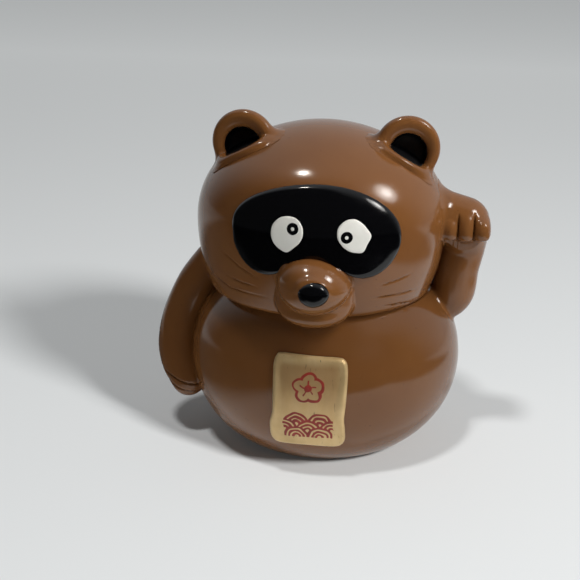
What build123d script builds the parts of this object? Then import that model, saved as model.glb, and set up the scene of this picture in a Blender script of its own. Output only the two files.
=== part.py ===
from build123d import *
from math import asin, atan2, cos, degrees, hypot, radians, sin, sqrt
import os

# A hollow, slip-cast raccoon dog that sits upright and beckons with its raised left paw.
# Sizes are millimetres and degrees, the table is z = 0 and the figure looks along -Y.
# Right and left are the figure's own sides, so its right side is at -X.

# Torso
torso_radius = 51.4  # widest ring of the belly
belly_height = 33.5  # that ring above the table
foot_inset = 21.4  # the flat foot is this much smaller than the belly
shoulder_height = 26.5  # neck seam above the belly ring
shoulder_inset = 12.0  # the neck seam is this much smaller than the belly
wall = 4.0  # cast wall of torso and head
floor_thickness = 5.0
foot_ring = 8.0  # width of the ring that touches the table
foot_recess = 0.6  # hollow inside that ring
foot_round = 1.2
drain_radius = 6.0  # the slip is poured out here
neck_opening_radius = 16.0  # joins the two cavities
lute = 0.1  # layer of slip or glaze under each piece that is stuck on

# Head
head_radius = 46.3
head_rise = 35.0  # crown above the widest ring
crown_flattening = 5.0  # the cheeks' arc is this much smaller than the rise
head_height = 27.0  # that ring above the neck seam
jowl_inset = 5.9  # the neck seam is this much smaller than the head
jowl_round = 4.5  # edge over the neck seam
head_forward = 3.0
head_sideways = -2.2
face_sideways = 1.2  # middle of the face from the head's axis

# Ears
ear_radius = 11.9
ear_rim = 5.2
ear_back = 6.0  # back of the ear behind its rim
ear_back_flattening = 1.5
ear_bowl = 3.2  # hollow behind the rim
ear_bowl_flattening = 1.0
ear_inset = 16.8  # middle of the ear inside the head's widest ring
ear_forward = 8.5  # in front of the head's axis
ear_lift = 1.6  # middle of the ear above the head's surface
ear_turn = 10.0  # outwards
lining_thickness = 0.4

# Eye mask
mask_width = 58.2
mask_line = 2.5  # its widest line above the head's ring
mask_rise = 18.2
lobe_spacing = 34.0
lobe_drop = 13.3
notch_drop = 6.5  # over the muzzle
mask_thickness = 1.2
mask_round = 0.8

# Eyes
eye_radius = 6.2
eye_spacing = 22.4
eye_sideways = 2.0  # the painter set both eyes off the middle
eye_height = 5.2
eye_thickness = 0.7
pupil_radius = 1.75
pupil_thickness = 0.35
glint_radius = 0.6
glint_thickness = 0.3
right_gaze = (2.0, 2.1)  # pupil from the middle of its eye
left_gaze = (-2.0, -0.1)

# Muzzle, lower jaw and nose
muzzle_width = 27.0
muzzle_depth = 31.0
muzzle_height = 20.0
muzzle_reach = 10.5  # tip in front of the head
muzzle_drop = 12.5  # below the head's ring
jaw_width = 26.0
jaw_depth = 23.0
jaw_height = 18.0
jaw_reach = 5.5
jaw_drop = 18.0
nose_width = 9.6
nose_depth = 8.0
nose_height = 8.2
nose_reach = 1.8  # in front of the muzzle's tip
nose_lift = 0.6  # above the muzzle's axis
nose_sideways = 0.8

# Raised left arm: height above the neck seam, stand-off from the surface there, swing and radius
raised_arm_stations = (
    (-11.0, -5.0, 2.0, 7.0),
    (-3.0, 3.4, 2.0, 7.8),
    (8.0, 6.6, 4.0, 7.7),
    (18.0, 6.8, 4.0, 7.8),
    (27.2, 5.0, -1.5, 9.4),
)
finger_width = 6.4
finger_length = 12.8
finger_spacing = 5.8
finger_forward = 7.0  # in front of the palm's middle
finger_drop = 1.6
finger_count = 3

# Lowered right arm, given as the raised one is
lowered_arm_stations = (
    (6.0, 0.2, 6.6, 6.5),
    (-3.0, 7.2, 0.0, 8.0),
    (-14.0, 5.0, -1.0, 8.4),
    (-24.0, 4.8, -4.0, 8.5),
    (-31.5, 4.2, -8.0, 8.2),
    (-38.0, 3.2, -13.0, 6.8),
)

# Belly plaque
plaque_top_width = 24.4
plaque_bottom_width = 27.8
plaque_length = 34.5
plaque_height = 31.0  # its middle above the table
plaque_sideways = -1.7
plaque_corner = 2.6
plaque_thickness = 1.7
plaque_round = 0.9

# Tail
tail_width = 19.0
tail_length = 26.0
tail_thickness = 18.0
tail_height = 17.0
tail_stand_off = 2.0
tail_lift = 20.0  # its tip turns up by this angle

# Worked out from the sizes above
neck_height = belly_height + shoulder_height
foot_radius = torso_radius - foot_inset
belly_centre = Vector(0, 0, belly_height)
head_centre = Vector(head_sideways, -head_forward, neck_height + head_height)
neck_plane = Plane.XY.offset(neck_height)
face_centre = head_centre + Vector(face_sideways, 0, 0)
face_plane = Plane(origin=face_centre, x_dir=(1, 0, 0), z_dir=(0, -1, 0))
chest_plane = Plane(origin=(plaque_sideways, 0, plaque_height), x_dir=(1, 0, 0), z_dir=(0, -1, 0))


def drawn_in(inset, height):
    """Radius of an arc that starts upright and draws in by an inset over a height."""
    return (inset**2 + height**2) / (2 * inset)


shoulder_arc = drawn_in(shoulder_inset, shoulder_height)
hip_arc = drawn_in(foot_inset, belly_height)
jowl_arc = drawn_in(jowl_inset, head_height)


def oval_arcs(girth, rise, flattening):
    """Centre and radius of the side arc and of the crown arc of a quarter of an oval, and where they meet."""
    side_radius = rise - flattening
    side_centre = girth - side_radius
    crown_radius = (rise**2 + side_centre**2 - side_radius**2) / (2 * flattening)
    turn = degrees(atan2(crown_radius - rise, side_centre))
    return side_centre, side_radius, rise - crown_radius, crown_radius, turn


def quarter_oval(girth, rise, flattening):
    """Draw that quarter in the open line, from upright at the girth to level on the axis."""
    side_centre, side_radius, crown_centre, crown_radius, turn = oval_arcs(girth, rise, flattening)
    CenterArc((side_centre, 0), side_radius, 0, turn)
    CenterArc((0, crown_centre), crown_radius, turn, 90 - turn)


def profile_plane(centre):
    """Upright plane of a round form's profile, turned to a back quarter where nothing seats on the form."""
    return Plane(origin=centre, x_dir=(1, 1, 0), z_dir=(1, -1, 0))


def torso_egg(skin):
    """The torso's round form, grown by a skin."""
    upper_turn = degrees(asin(shoulder_height / shoulder_arc))
    lower_turn = degrees(asin(belly_height / hip_arc))
    with BuildPart() as form:
        with BuildSketch(profile_plane(belly_centre)):
            with BuildLine():
                upper = CenterArc((torso_radius - shoulder_arc, 0), shoulder_arc + skin, 0, upper_turn)
                lower = CenterArc((torso_radius - hip_arc, 0), hip_arc + skin, -lower_turn, lower_turn)
                Polyline(upper @ 1, (0, (upper @ 1).Y), (0, (lower @ 0).Y), lower @ 0)
            make_face()
        revolve(axis=Axis(belly_centre, (0, 0, 1)))
    return form.part


def head_egg(skin):
    """The head's round form, grown by a skin."""
    jowl_turn = degrees(asin(head_height / jowl_arc))
    with BuildPart() as form:
        with BuildSketch(profile_plane(head_centre)) as profile:
            with BuildLine():
                quarter_oval(head_radius + skin, head_rise + skin, crown_flattening)
                jowl = CenterArc((head_radius - jowl_arc, 0), jowl_arc + skin, -jowl_turn, jowl_turn)
                Polyline(jowl @ 0, (0, (jowl @ 0).Y), (0, head_rise + skin))
            make_face()
            fillet(profile.vertices().group_by(Axis.Y)[0].sort_by(Axis.X)[-1], jowl_round)
        revolve(axis=Axis(head_centre, (0, 0, 1)))
    return form.part


def head_top(reach):
    """Height of the head's surface above its widest ring, at a reach from its axis."""
    side_centre, side_radius, crown_centre, crown_radius, turn = oval_arcs(
        head_radius, head_rise, crown_flattening
    )
    if reach < crown_radius * cos(radians(turn)):
        return crown_centre + sqrt(crown_radius**2 - reach**2)
    return sqrt(side_radius**2 - (reach - side_centre) ** 2)


def dome(centre, width, depth, height, tilt=0):
    """A ball stretched along X, Y and Z, then tipped about X."""
    return Location(centre, (tilt, 0, 0)) * scale(Sphere(0.5), by=(width, depth, height))


def beside(height, stand_off, swing, side):
    """A point that stands off from the head or torso, at a height above the neck seam."""
    outwards = Vector(side * cos(radians(swing)), sin(radians(swing)), 0)
    if height > 0:
        axis_point = Vector(head_centre.X, head_centre.Y, 0)
        level, girth, arc = height - head_height, head_radius, jowl_arc
    else:
        axis_point = Vector(0, 0, 0)
        level, girth = height + shoulder_height, torso_radius
        arc = shoulder_arc if level > 0 else hip_arc
    surface = girth - arc + sqrt(arc**2 - level**2)
    return axis_point + outwards * (surface + stand_off) + Vector(0, 0, neck_height + height)


def limb(stations, side):
    """A bent limb lofted through rings, with half a ball on each end."""
    points = [beside(height, stand_off, swing, side) for height, stand_off, swing, _ in stations]
    radii = [station[3] for station in stations]
    with BuildPart() as form:
        with BuildLine():
            middle = Spline(*points)
        rings = []
        for point, radius in zip(points, radii):
            along = middle.tangent_at(point)
            across = Vector(0, 1, 0) - along * along.Y
            rings.append(Plane(origin=point, x_dir=across, z_dir=along))
            with BuildSketch(rings[-1]):
                Circle(radius)
        loft()
        root = Plane(origin=points[0], x_dir=rings[0].x_dir, z_dir=-rings[0].z_dir)
        for end, radius in ((root, radii[0]), (rings[-1], radii[-1])):
            with Locations(end):
                Sphere(radius, arc_size1=0, align=None)
    return form.part


# Closed forms that the pieces are cut from, and the seats that leave room for the lute
torso_skin = torso_egg(0)
torso_lining = torso_egg(-wall)
torso_seat = torso_egg(lute)
plaque_skin = torso_egg(plaque_thickness)
head_skin = head_egg(0)
head_lining = head_egg(-wall)
head_seat = head_egg(lute)
mask_top = mask_thickness
eye_top = mask_top + eye_thickness
pupil_top = eye_top + pupil_thickness
glint_top = pupil_top + glint_thickness
mask_skin = head_egg(mask_top)

with BuildPart() as torso_cavity:
    add(torso_lining)
    split(bisect_by=Plane.XY.offset(floor_thickness), keep=Keep.TOP)
    split(bisect_by=neck_plane.offset(-wall), keep=Keep.BOTTOM)

with BuildPart() as head_cavity:
    add(head_lining)
    split(bisect_by=neck_plane.offset(wall), keep=Keep.TOP)

muzzle_centre = face_centre + Vector(0, muzzle_depth / 2 - head_radius - muzzle_reach, -muzzle_drop)
jaw_centre = face_centre + Vector(0, jaw_depth / 2 - head_radius - jaw_reach, -jaw_drop)
nose_forward = (muzzle_depth - nose_depth) / 2 + nose_reach
nose_centre = muzzle_centre + Vector(nose_sideways, -nose_forward, nose_lift)
muzzle_form = dome(muzzle_centre, muzzle_width, muzzle_depth, muzzle_height)
muzzle_seat = dome(muzzle_centre, muzzle_width + 2 * lute, muzzle_depth + 2 * lute, muzzle_height + 2 * lute)
jaw_form = dome(jaw_centre, jaw_width, jaw_depth, jaw_height)
jaw_seat = dome(jaw_centre, jaw_width + 2 * lute, jaw_depth + 2 * lute, jaw_height + 2 * lute)
nose_form = dome(nose_centre, nose_width, nose_depth, nose_height)

# Torso, with its foot ring, drain hole and the flat shoulder that the head is luted to
with BuildPart() as torso_shell:
    add(torso_skin)
    fillet(torso_shell.edges().group_by(Axis.Z)[0], foot_round)
    add(torso_cavity.part, mode=Mode.SUBTRACT)
    with BuildSketch(Plane.XY):
        Circle(foot_radius - foot_ring)
    extrude(amount=foot_recess, mode=Mode.SUBTRACT)
    with BuildSketch(Plane.XY):
        Circle(drain_radius)
    extrude(amount=floor_thickness, mode=Mode.SUBTRACT)
    with BuildSketch(neck_plane):
        Circle(neck_opening_radius)
    extrude(amount=-wall, mode=Mode.SUBTRACT)

# Head, cut flat at the neck seam
with BuildPart() as head_shell:
    add(head_skin)
    add(head_cavity.part, mode=Mode.SUBTRACT)
    with BuildSketch(neck_plane):
        Circle(neck_opening_radius)
    extrude(amount=wall, mode=Mode.SUBTRACT)


def ear_frame(side):
    """The middle of an ear, the way that it faces, and the plane of its section, whose Y points back."""
    across = side * (head_radius - ear_inset)
    surface = head_top(hypot(across, ear_forward))
    centre = face_centre + Vector(across, -ear_forward, surface + ear_lift)
    facing = Vector(side * sin(radians(ear_turn)), -cos(radians(ear_turn)), 0)
    section = Plane(origin=centre, x_dir=(0, 0, 1), z_dir=facing.cross(Vector(0, 0, 1)))
    return centre, facing, section


def ear(side):
    """A round ear with a thick rim and a hollow front, seated on the head."""
    centre, facing, section = ear_frame(side)
    with BuildPart() as form:
        with BuildSketch(section):
            with BuildLine():
                quarter_oval(ear_radius, ear_back, ear_back_flattening)
                quarter_oval(ear_radius - ear_rim, ear_bowl, ear_bowl_flattening)
                CenterArc((ear_radius - ear_rim / 2, 0), ear_rim / 2, 180, 180)
                Line((0, ear_bowl), (0, ear_back))
            make_face()
        revolve(axis=Axis(centre, facing))
        add(head_seat, mode=Mode.SUBTRACT)
    return form


def ear_lining(side):
    """The coat of black enamel inside an ear's hollow."""
    centre, facing, section = ear_frame(side)
    coat_radius = ear_radius - ear_rim - lute
    coat_bowl = ear_bowl - lute
    with BuildPart() as form:
        with BuildSketch(section):
            with BuildLine():
                quarter_oval(coat_radius, coat_bowl, ear_bowl_flattening)
                quarter_oval(coat_radius - lining_thickness, coat_bowl - lining_thickness, ear_bowl_flattening)
                Line((0, coat_bowl), (0, coat_bowl - lining_thickness))
                Line((coat_radius, 0), (coat_radius - lining_thickness, 0))
            make_face()
        revolve(axis=Axis(centre, facing))
        add(head_seat, mode=Mode.SUBTRACT)
    return form


right_ear = ear(-1)
left_ear = ear(1)
right_ear_lining = ear_lining(-1)
left_ear_lining = ear_lining(1)

# Raised eye mask that wraps round the face, notched over the muzzle
lobe_x = lobe_spacing / 2
lobe_width = mask_width / 2 - lobe_x
with BuildPart() as eye_mask:
    with BuildSketch(face_plane):
        with BuildLine():
            EllipticalCenterArc((0, mask_line), mask_width / 2, mask_rise, 0, arc_size=90)
            lobe = EllipticalCenterArc((lobe_x, mask_line), lobe_width, lobe_drop, -90, arc_size=90)
            Spline(lobe @ 0, (0, mask_line - notch_drop), tangents=((-1, 0), (-1, 0)))
            mirror(about=Plane.YZ)
        make_face()
    extrude(amount=head_radius * 2)
    add(mask_skin, mode=Mode.INTERSECT)
    add(head_seat, mode=Mode.SUBTRACT)
    fillet(eye_mask.faces().sort_by(Axis.Y)[0].outer_wire().edges(), mask_round)
    add(muzzle_seat, mode=Mode.SUBTRACT)
    add(jaw_seat, mode=Mode.SUBTRACT)


def enamel_spot(place, radius, under, over):
    """A round spot of enamel between two heights over the head's surface."""
    seat = head_egg(under + lute)
    skin = head_egg(over)
    with BuildPart() as form:
        with BuildSketch(face_plane):
            with Locations(place):
                Circle(radius)
        extrude(amount=head_radius * 2)
        add(skin, mode=Mode.INTERSECT)
        add(seat, mode=Mode.SUBTRACT)
    return form


right_eye_place = Vector(eye_sideways - eye_spacing / 2, eye_height)
left_eye_place = Vector(eye_sideways + eye_spacing / 2, eye_height)
right_pupil_place = right_eye_place + Vector(right_gaze)
left_pupil_place = left_eye_place + Vector(left_gaze)
right_eye = enamel_spot(right_eye_place, eye_radius, mask_top, eye_top)
left_eye = enamel_spot(left_eye_place, eye_radius, mask_top, eye_top)
right_pupil = enamel_spot(right_pupil_place, pupil_radius, eye_top, pupil_top)
left_pupil = enamel_spot(left_pupil_place, pupil_radius, eye_top, pupil_top)
right_glint = enamel_spot(right_pupil_place, glint_radius, pupil_top, glint_top)
left_glint = enamel_spot(left_pupil_place, glint_radius, pupil_top, glint_top)

with BuildPart() as muzzle:
    add(muzzle_form)
    add(head_seat, mode=Mode.SUBTRACT)

with BuildPart() as lower_jaw:
    add(jaw_form)
    add(head_seat, mode=Mode.SUBTRACT)
    add(muzzle_seat, mode=Mode.SUBTRACT)
    add(torso_seat, mode=Mode.SUBTRACT)

with BuildPart() as nose_tip:
    add(nose_form)
    add(muzzle_seat, mode=Mode.SUBTRACT)

# Raised arm: the paw bends forward beside the head, with its fingers hanging down
raised_limb = limb(raised_arm_stations, 1)
palm_height, palm_stand_off, palm_swing, _ = raised_arm_stations[-1]
palm_centre = beside(palm_height, palm_stand_off, palm_swing, 1)
with BuildPart() as finger:
    with BuildSketch(Plane.XZ):
        SlotOverall(finger_length, finger_width, rotation=90)
        split(bisect_by=Plane.YZ)
    revolve(axis=Axis.Z)
finger_places = []
for index in range(finger_count):
    along_knuckles = (index - (finger_count - 1) / 2) * finger_spacing
    finger_places.append(palm_centre + Vector(along_knuckles, -finger_forward, -finger_drop))
with BuildPart() as raised_arm:
    add(raised_limb)
    with Locations(finger_places):
        add(finger.part)
    add(head_seat, mode=Mode.SUBTRACT)
    add(torso_seat, mode=Mode.SUBTRACT)

# Lowered arm: it lies against the torso
lowered_limb = limb(lowered_arm_stations, -1)
with BuildPart() as lowered_arm:
    add(lowered_limb)
    add(head_seat, mode=Mode.SUBTRACT)
    add(torso_seat, mode=Mode.SUBTRACT)

with BuildPart() as belly_plaque:
    with BuildSketch(chest_plane):
        with BuildLine():
            Polyline(
                (-plaque_bottom_width / 2, -plaque_length / 2),
                (plaque_bottom_width / 2, -plaque_length / 2),
                (plaque_top_width / 2, plaque_length / 2),
                (-plaque_top_width / 2, plaque_length / 2),
                close=True,
            )
        outline = make_face()
        fillet(outline.vertices(), plaque_corner)
    extrude(amount=torso_radius * 2)
    add(plaque_skin, mode=Mode.INTERSECT)
    add(torso_seat, mode=Mode.SUBTRACT)
    fillet(belly_plaque.faces().sort_by(Axis.Y)[0].outer_wire().edges(), plaque_round)

tail_root = beside(tail_height - neck_height, tail_stand_off, 90, 1)
tail_form = dome(tail_root, tail_width, tail_length, tail_thickness, tail_lift)
with BuildPart() as tail:
    add(tail_form)
    add(torso_seat, mode=Mode.SUBTRACT)

pieces = {
    "torso_shell": torso_shell,
    "head_shell": head_shell,
    "right_ear": right_ear,
    "left_ear": left_ear,
    "right_ear_lining": right_ear_lining,
    "left_ear_lining": left_ear_lining,
    "eye_mask": eye_mask,
    "right_eye": right_eye,
    "left_eye": left_eye,
    "right_pupil": right_pupil,
    "left_pupil": left_pupil,
    "right_glint": right_glint,
    "left_glint": left_glint,
    "muzzle": muzzle,
    "lower_jaw": lower_jaw,
    "nose_tip": nose_tip,
    "raised_arm": raised_arm,
    "lowered_arm": lowered_arm,
    "belly_plaque": belly_plaque,
    "tail": tail,
}
os.makedirs("parts", exist_ok=True)
for name, piece in pieces.items():
    piece.part.label = name
    export_step(piece.part, f"parts/{name}.step")
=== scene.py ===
from math import asin, atan2, ceil, cos, hypot, pi, radians, sin, sqrt

import bmesh
import bpy
from mathutils import Matrix, Vector, noise


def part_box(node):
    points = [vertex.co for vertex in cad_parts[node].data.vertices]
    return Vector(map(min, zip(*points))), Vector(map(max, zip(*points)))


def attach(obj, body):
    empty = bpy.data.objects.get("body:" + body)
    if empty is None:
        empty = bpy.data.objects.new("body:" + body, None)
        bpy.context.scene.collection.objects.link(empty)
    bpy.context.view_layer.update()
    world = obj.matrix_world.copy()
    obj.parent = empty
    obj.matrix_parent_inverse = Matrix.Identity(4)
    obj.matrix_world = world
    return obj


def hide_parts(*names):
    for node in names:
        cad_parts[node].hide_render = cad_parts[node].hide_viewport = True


# A glazed raccoon dog that sits upright and beckons with its raised left paw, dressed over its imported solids.
# Forms are drawn in millimetres and put into metres when a piece is finished. The figure looks along -Y.

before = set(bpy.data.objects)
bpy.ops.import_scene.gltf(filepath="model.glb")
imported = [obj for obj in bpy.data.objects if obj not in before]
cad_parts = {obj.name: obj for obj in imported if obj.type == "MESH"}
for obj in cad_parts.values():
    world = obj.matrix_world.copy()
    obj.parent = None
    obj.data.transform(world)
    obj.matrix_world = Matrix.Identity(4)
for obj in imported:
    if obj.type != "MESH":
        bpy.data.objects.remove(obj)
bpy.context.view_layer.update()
scene = bpy.context.scene
MM = 0.001


def node_box(node):
    """Lowest and highest corner of a solid, in millimetres."""
    low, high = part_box(node)
    return low / MM, high / MM


_, torso_high = node_box("torso_shell")
head_low, head_high = node_box("head_shell")

# Torso. Its points lie close together outside, and wide apart inside, as the head's do
torso_radius = torso_high.x
neck_height = torso_high.z
belly_height = 33.5
foot_radius = 30.0
shoulder_radius = 39.4
wall = 4.0
floor_thickness = 5.0
foot_ring = 8.0
foot_recess = 0.6
drain_radius = 6.0
neck_opening = 16.0
torso_steps = 256
torso_fine, torso_coarse = 0.7, 3

# Head
head_radius = (head_high.x - head_low.x) / 2
head_ring = neck_height + 27.0
head_rise = head_high.z - head_ring
crown_flattening = 5.0
jowl_inset = 5.9
jowl_round = 3.4
face_sideways = 1.2
head_steps = 400
crown_fine, cheek_fine, jowl_fine, head_coarse = 0.9, 0.5, 0.4, 4

# Hand-finished clay: the size and the height of its unevenness
uneven_size = 26
uneven_height = 0.12

# Ears
ear_radius = 11.9
ear_rim = 5.2
ear_steps = 160
ear_fine, rim_fine = 0.4, 0.3
ear_rubs = 6
ear_back = 6.0
ear_back_flattening = 1.5
ear_bowl = 3.4
ear_bowl_flattening = 1.0
ear_inset = 16.8
ear_forward = 8.5
ear_lift = 1.6
ear_turn = radians(10)
ear_fillet = 4.2
ear_ridge = 1.7
ear_ridge_lean = 0.55
ear_bowl_drop = 2.6
ear_bowl_edge = 0.6
ear_stand_off = 0.15
ear_sink = 0.6
ear_softness = 1.0
lining_coat = 0.2
lining_reach = 0.45

# Mask and eyes
mask_width = 58.2
mask_line = 2.5
mask_rise = 18.2
lobe_spacing = 34.0
lobe_drop = 13.3
notch_drop = 6.5
mask_thickness = 1.2
mask_edge_rise = 0.9
mask_roll = 1.1
mask_fullness = 3.4
mask_full_x = (3, 17)
mask_full_z = (3, 10)
mask_upright = -2.0
lobe_band = 3.0
lobe_fall = 0.25
lobe_foot = (0, -5)
eye_mound = 0.12
eye_mound_edge = (8.7, 5.9)
eye_coat = 0.45
coat_at_edge = 0.35
coat_run = 0.5
pupil_radius = 2.0
pupil_coat = 0.12
glint_radius = 0.6
glint_coat = 0.1

# Muzzle, lower jaw and nose: width, depth and height
muzzle_size = (26.0, 31.0, 22.0)
muzzle_reach = 10.5
muzzle_drop = 13.4
muzzle_fillet = 3.2
muzzle_lean = 0.16
jaw_size = (27.4, 23.0, 19.5)
jaw_reach = 5.5
jaw_drop = 19.4
jaw_fillet = 1.0
jaw_fullness = 2.4
mouth_groove = 0.14
mouth_corner = (0.0036, -0.00062)
nose_size = (10.6, 8.0, 8.8)
nose_reach = 2.5
nose_lift = 0.5
nose_sideways = 0.8
nose_collar = 0.9
nose_fullness = 2.6

# Tail
tail_size = (19.0, 26.0, 18.0)
tail_height = 17.0
tail_stand_off = 2.0
tail_lift = radians(20)
tail_fillet = 2.5


def drawn_in(inset, height):
    """Radius of an arc that starts upright and draws in by an inset over a height."""
    return (inset**2 + height**2) / (2 * inset)


class RoundForm:
    """A form turned on an upright axis. Its arcs go from the top down: reach and height of the centre,
    radius and the lowest angle that the arc covers."""

    def __init__(self, x, y, arcs):
        self.axis = Vector((x, y, 0))
        self.arcs = arcs

    def gap(self, point):
        """How far a point stands off the surface, and the surface's outward direction there."""
        out = Vector((point.x - self.axis.x, point.y - self.axis.y, 0))
        reach = out.length
        for centre, level, radius, lowest in self.arcs:
            if atan2(point.z - level, reach - centre) >= lowest:
                break
        away = hypot(reach - centre, point.z - level)
        direction = out * ((reach - centre) / (max(away, 0.001) * max(reach, 0.001)))
        direction.z = (point.z - level) / max(away, 0.001)
        return away - radius, direction

    def reach_at(self, height, lift=0.0):
        """Radius of the form, grown by a lift, at a height."""
        for centre, level, radius, lowest in self.arcs:
            rise = (height - level) / (radius + lift)
            if abs(rise) <= 1 and asin(rise) >= lowest:
                break
        return centre + (radius + lift) * sqrt(max(0, 1 - rise**2))

    def height_at(self, reach):
        """Height of the form's upper side at a reach from its axis."""
        for centre, level, radius, lowest in self.arcs:
            run = (reach - centre) / radius
            if abs(run) <= 1 and asin(sqrt(1 - run**2)) >= lowest:
                break
        return level + radius * sqrt(1 - run**2)


shoulder_arc = drawn_in(torso_radius - shoulder_radius, neck_height - belly_height)
hip_arc = drawn_in(torso_radius - foot_radius, belly_height)
torso = RoundForm(
    0,
    0,
    [
        (torso_radius - shoulder_arc, belly_height, shoulder_arc, 0),
        (torso_radius - hip_arc, belly_height, hip_arc, -pi / 2),
    ],
)
cheek_radius = head_rise - crown_flattening
cheek_centre = head_radius - cheek_radius
crown_radius = (head_rise**2 + cheek_centre**2 - cheek_radius**2) / (2 * crown_flattening)
crown_level = head_ring + head_rise - crown_radius
crown_turn = atan2(crown_radius - head_rise, cheek_centre)
jowl_arc = drawn_in(jowl_inset, head_ring - neck_height)
jowl_centre = head_radius - jowl_arc
jowl_edge_height = neck_height + jowl_round
jowl_edge_drop = head_ring - jowl_edge_height
jowl_edge_centre = jowl_centre + sqrt((jowl_arc - jowl_round) ** 2 - jowl_edge_drop**2)
jowl_turn = atan2(-jowl_edge_drop, jowl_edge_centre - jowl_centre)
head = RoundForm(
    (head_low.x + head_high.x) / 2,
    (head_low.y + head_high.y) / 2,
    [
        (0, crown_level, crown_radius, crown_turn),
        (cheek_centre, head_ring, cheek_radius, 0),
        (jowl_centre, head_ring, jowl_arc, jowl_turn),
        (jowl_edge_centre, jowl_edge_height, jowl_round, -pi / 2),
    ],
)
face = Vector((head.axis.x + face_sideways, head.axis.y, head_ring))


def on_face(x, z, lift=0.0):
    """Point of the head's front at a place from the face's middle, lifted off the surface."""
    reach = head.reach_at(face.z + z, lift)
    across = face.x + x - head.axis.x
    return Vector((face.x + x, head.axis.y - sqrt(reach**2 - across**2), face.z + z))


def on_chest(x, z, lift=0.0):
    """Point of the torso's front, lifted off the surface."""
    reach = torso.reach_at(z, lift)
    return Vector((x, -sqrt(reach**2 - x**2), z))


def soft_step(low, high, value):
    """0 below one value and 1 above the other, with a soft change between."""
    t = min(max((value - low) / (high - low), 0), 1)
    return t * t * (3 - 2 * t)


def groove(share):
    """Depth of a soft groove at a share of its half width, from 1 in its middle to 0."""
    return (1 - share**2) ** 2


def fuller(down, fullness):
    """How much further out a full oval lies than a round one, at a share of the way down."""
    if not 0 < down < 0.999:
        return 1
    return (1 - down**fullness) ** (1 / fullness) / sqrt(1 - down**2)


# Mesh tools
weld = 0.002
fillet_pool = 1.6


def arc_points(centre, level, radius, start, end, spacing):
    """Points along an arc in the half-plane of reach and height."""
    steps = max(2, ceil(abs(end - start) * radius / spacing))
    turns = [start + (end - start) * i / steps for i in range(steps + 1)]
    return [(centre + radius * cos(turn), level + radius * sin(turn)) for turn in turns]


def spun(points, centre, out, about, steps, closed):
    """A profile of reach and height spun round a line into a closed skin."""
    bm = bmesh.new()
    profile = [bm.verts.new(centre + out * reach + about * height) for reach, height in points]
    edges = [bm.edges.new(pair) for pair in zip(profile, profile[1:])]
    if closed:
        edges.append(bm.edges.new((profile[-1], profile[0])))
    bmesh.ops.spin(
        bm, geom=profile + edges, cent=centre, axis=about, angle=2 * pi, steps=steps, use_merge=True
    )
    bmesh.ops.remove_doubles(bm, verts=bm.verts, dist=weld)
    bmesh.ops.recalc_face_normals(bm, faces=bm.faces)
    return bm


def ball(centre, size, fineness, tilt=0.0):
    """A ball stretched along X, Y and Z, then tipped about X."""
    bm = bmesh.new()
    place = Matrix.Translation(centre) @ Matrix.Rotation(tilt, 4, "X") @ Matrix.Diagonal((*size, 1))
    bmesh.ops.create_icosphere(bm, subdivisions=fineness, radius=0.5, matrix=place)
    return bm


def glide(stations, steps):
    """Stations joined by a smooth curve, each run in a number of steps."""
    ends = [stations[0], *stations, stations[-1]]
    path = []
    for before, start, end, after in zip(ends, ends[1:], ends[2:], ends[3:]):
        for step in range(steps):
            t = step / steps
            place = []
            for a, b, c, d in zip(before, start, end, after):
                turn = 2 * a - 5 * b + 4 * c - d
                bend = 3 * b - a - 3 * c + d
                place.append(0.5 * (2 * b + (c - a) * t + turn * t**2 + bend * t**3))
            path.append(tuple(place))
    return path + [tuple(stations[-1])]


def loop(points, steps):
    """A closed outline through points, smoothly."""
    around = glide([points[-1], *points, points[0], points[1]], steps)
    return around[steps : steps * (len(points) + 1)]


def rub(bm, rounds):
    """Rub a skin softer, a number of times."""
    for _ in range(rounds):
        bmesh.ops.smooth_vert(
            bm, verts=bm.verts, factor=0.5, use_axis_x=True, use_axis_y=True, use_axis_z=True
        )


def modelled(strings, voxel, rounds):
    """Strings of balls, each of places and radii, pressed together into one soft skin."""
    clay = bmesh.new()
    for string in strings:
        for x, y, z, radius in string:
            place = Matrix.Translation((x, y, z))
            bmesh.ops.create_icosphere(clay, subdivisions=3, radius=radius, matrix=place)
    mesh = bpy.data.meshes.new("clay")
    clay.to_mesh(mesh)
    clay.free()
    lump = bpy.data.objects.new("clay", mesh)
    scene.collection.objects.link(lump)
    remesh = lump.modifiers.new("pressed", "REMESH")
    remesh.mode = "VOXEL"
    remesh.voxel_size = voxel
    pressed = bpy.data.meshes.new_from_object(lump.evaluated_get(bpy.context.evaluated_depsgraph_get()))
    bm = bmesh.new()
    bm.from_mesh(pressed)
    bpy.data.objects.remove(lump)
    bpy.data.meshes.remove(mesh)
    bpy.data.meshes.remove(pressed)
    rub(bm, rounds)
    return bm


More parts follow.
